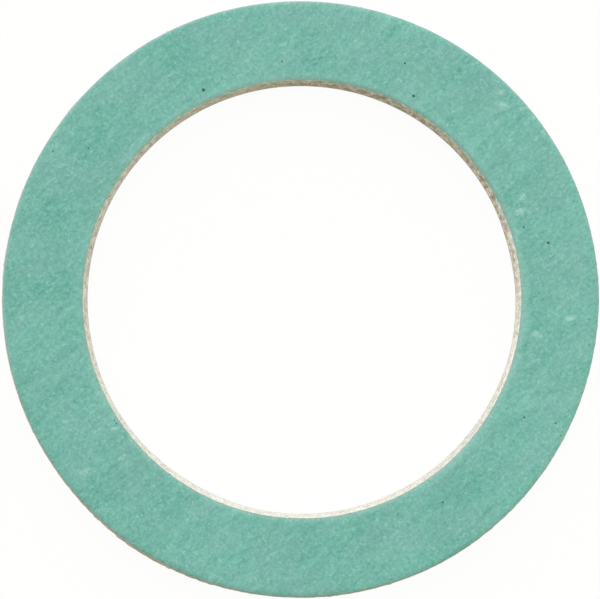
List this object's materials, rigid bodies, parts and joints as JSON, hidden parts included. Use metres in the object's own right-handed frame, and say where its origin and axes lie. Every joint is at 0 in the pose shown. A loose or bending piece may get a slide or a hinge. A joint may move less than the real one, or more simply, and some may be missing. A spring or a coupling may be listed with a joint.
{
  "type": "flat ring gasket",
  "caption": "Flat round gasket punched from green compressed fibre sheet, clamped between flat joint faces to seal a union or a flange.",
  "frame": {"origin": "centre of the back face, on the surface that the ring lies on", "axes": "+Z along the ring's axis from the back face to the front face; +X and +Y lie in the sheet, with +Y towards the top of the picture"},
  "size_m": [0.042, 0.042, 0.002],
  "materials": {
    "fibre_sheet": "matte"
  },
  "bodies": {
    "root": {"gasket_ring": "fibre_sheet"}
  },
  "joints": []
}
